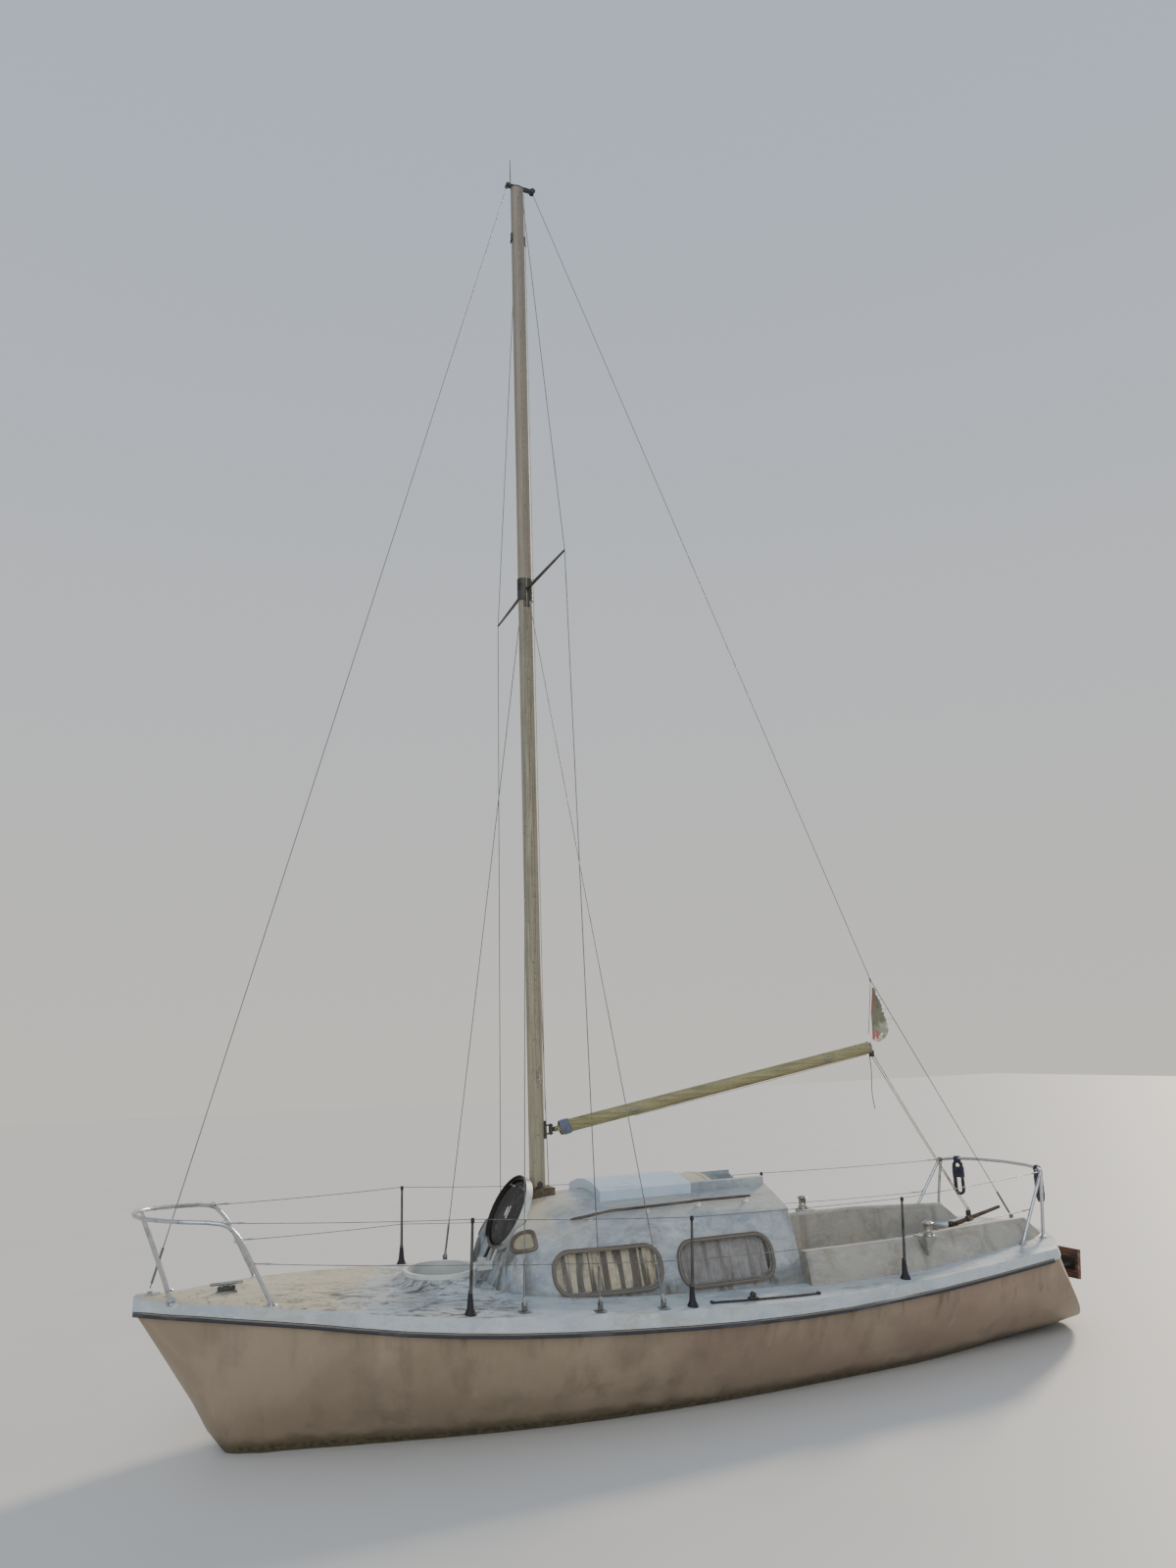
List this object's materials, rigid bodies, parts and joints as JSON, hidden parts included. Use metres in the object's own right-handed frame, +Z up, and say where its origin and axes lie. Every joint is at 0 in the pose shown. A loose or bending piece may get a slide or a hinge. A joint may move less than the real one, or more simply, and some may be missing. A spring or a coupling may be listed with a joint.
{
  "type": "sailing yacht",
  "caption": "Small masthead-rigged cruising sloop with a fin keel, spade rudder, raised coachroof and open cockpit, afloat with bare spars.",
  "frame": {"origin": "on the waterline plane, on the centreline, amidships", "axes": "+X to the bow, +Y to port, +Z up along the mast"},
  "size_m": [7.0185, 2.116, 10.874],
  "materials": {
    "hull_laminate": "faded sand paint on glass fibre, chalky and stained",
    "deck_gelcoat": "dirty off-white gelcoat",
    "roof_gelcoat": "weathered pale blue-grey gelcoat",
    "hood_gelcoat": "pale blue-grey gelcoat",
    "coaming_gelcoat": "dirty grey-white gelcoat",
    "black_rubber": "dull dark rubber",
    "window_rubber": "perished brown-black rubber",
    "window_pane": "smoky glazing, clouded",
    "old_wood": "weathered teak, bare",
    "pad_wood": "red-brown hardwood board",
    "spar_metal": "oxidised anodising, olive and grey",
    "steel": "dull stainless tube",
    "dark_steel": "darkened metal",
    "wire": "dull stainless wire",
    "winch_chrome": "pitted chrome",
    "antifouling": "worn dark antifouling with slime",
    "old_rope": "weathered dark rope",
    "old_cloth": "sun-bleached tattered bunting"
  },
  "bodies": {
    "boat": {"hull": "hull_laminate", "deck": "deck_gelcoat", "rubbing_strake": "black_rubber", "keel": "antifouling", "coachroof": "roof_gelcoat", "port_window_frame_1": "window_rubber", "port_window_pane_1": "window_pane", "port_window_frame_2": "window_rubber", "port_window_pane_2": "window_pane", "starboard_window_frame_1": "window_rubber", "starboard_window_pane_1": "window_pane", "starboard_window_frame_2": "window_rubber", "starboard_window_pane_2": "window_pane", "companionway_boards": "old_wood", "hatch_runners": "roof_gelcoat", "hatch_hood": "hood_gelcoat", "port_handrail": "old_wood", "starboard_handrail": "old_wood", "forehatch_coaming": "deck_gelcoat", "cockpit_well": "coaming_gelcoat", "port_coaming": "coaming_gelcoat", "starboard_coaming": "coaming_gelcoat", "port_winch": "winch_chrome", "starboard_winch": "winch_chrome", "mast_step": "old_wood", "mast": "spar_metal", "masthead_fitting": "dark_steel", "spreaders": "dark_steel", "port_forward_lower_shroud": "wire", "port_cap_shroud": "wire", "port_aft_lower_shroud": "wire", "starboard_forward_lower_shroud": "wire", "starboard_cap_shroud": "wire", "starboard_aft_lower_shroud": "wire", "stemhead_fitting": "steel", "forestay": "wire", "backstay": "wire", "gooseneck_bracket": "dark_steel", "port_stanchion_forward": "dark_steel", "port_stanchion_middle": "dark_steel", "port_stanchion_aft": "dark_steel", "starboard_stanchion_forward": "dark_steel", "starboard_stanchion_middle": "dark_steel", "starboard_stanchion_aft": "dark_steel", "pulpit": "steel", "pushpit": "steel", "bow_cleat": "dark_steel", "outboard_pad": "pad_wood", "outboard_bracket": "dark_steel", "ensign": "old_cloth", "bow_rope_hank": "old_rope", "port_stern_hank": "old_rope", "starboard_stern_hank": "old_rope"},
    "rudder": {"rudder": "antifouling"},
    "tiller": {"tiller": "old_wood"},
    "gooseneck": {"gooseneck_toggle": "dark_steel"},
    "boom": {"boom": "spar_metal", "boom_end_cord": "old_rope"},
    "forehatch_lid": {"forehatch_lid": "deck_gelcoat"},
    "sliding_hatch": {"sliding_hatch": "old_wood"}
  },
  "joints": [
    {"name": "steering", "type": "hinge", "parent": "boat", "child": "rudder", "pos_m": [-2.85, 0, 0.2], "axis": [0, 0, 1], "range_deg": [-35, 35]},
    {"name": "tiller_lift", "type": "hinge", "parent": "rudder", "child": "tiller", "pos_m": [-2.85, 0, 0.762], "axis": [0, 1, 0], "range_deg": [0, 157]},
    {"name": "boom_swing", "type": "hinge", "parent": "boat", "child": "gooseneck", "pos_m": [0.59, 0, 1.697], "axis": [0, 0, 1], "range_deg": [-65, 65]},
    {"name": "boom_topping", "type": "hinge", "parent": "gooseneck", "child": "boom", "pos_m": [0.552, 0, 1.697], "axis": [0, 1, 0], "range_deg": [-9.8, 8]},
    {"name": "forehatch", "type": "hinge", "parent": "boat", "child": "forehatch_lid", "pos_m": [1.065, 0, 0.885], "axis": [0, 1, 0], "range_deg": [0, 118]},
    {"name": "companion_hatch", "type": "slide", "parent": "boat", "child": "sliding_hatch", "axis": [1, 0, 0], "range_m": [-0.4, 0.18]}
  ]
}
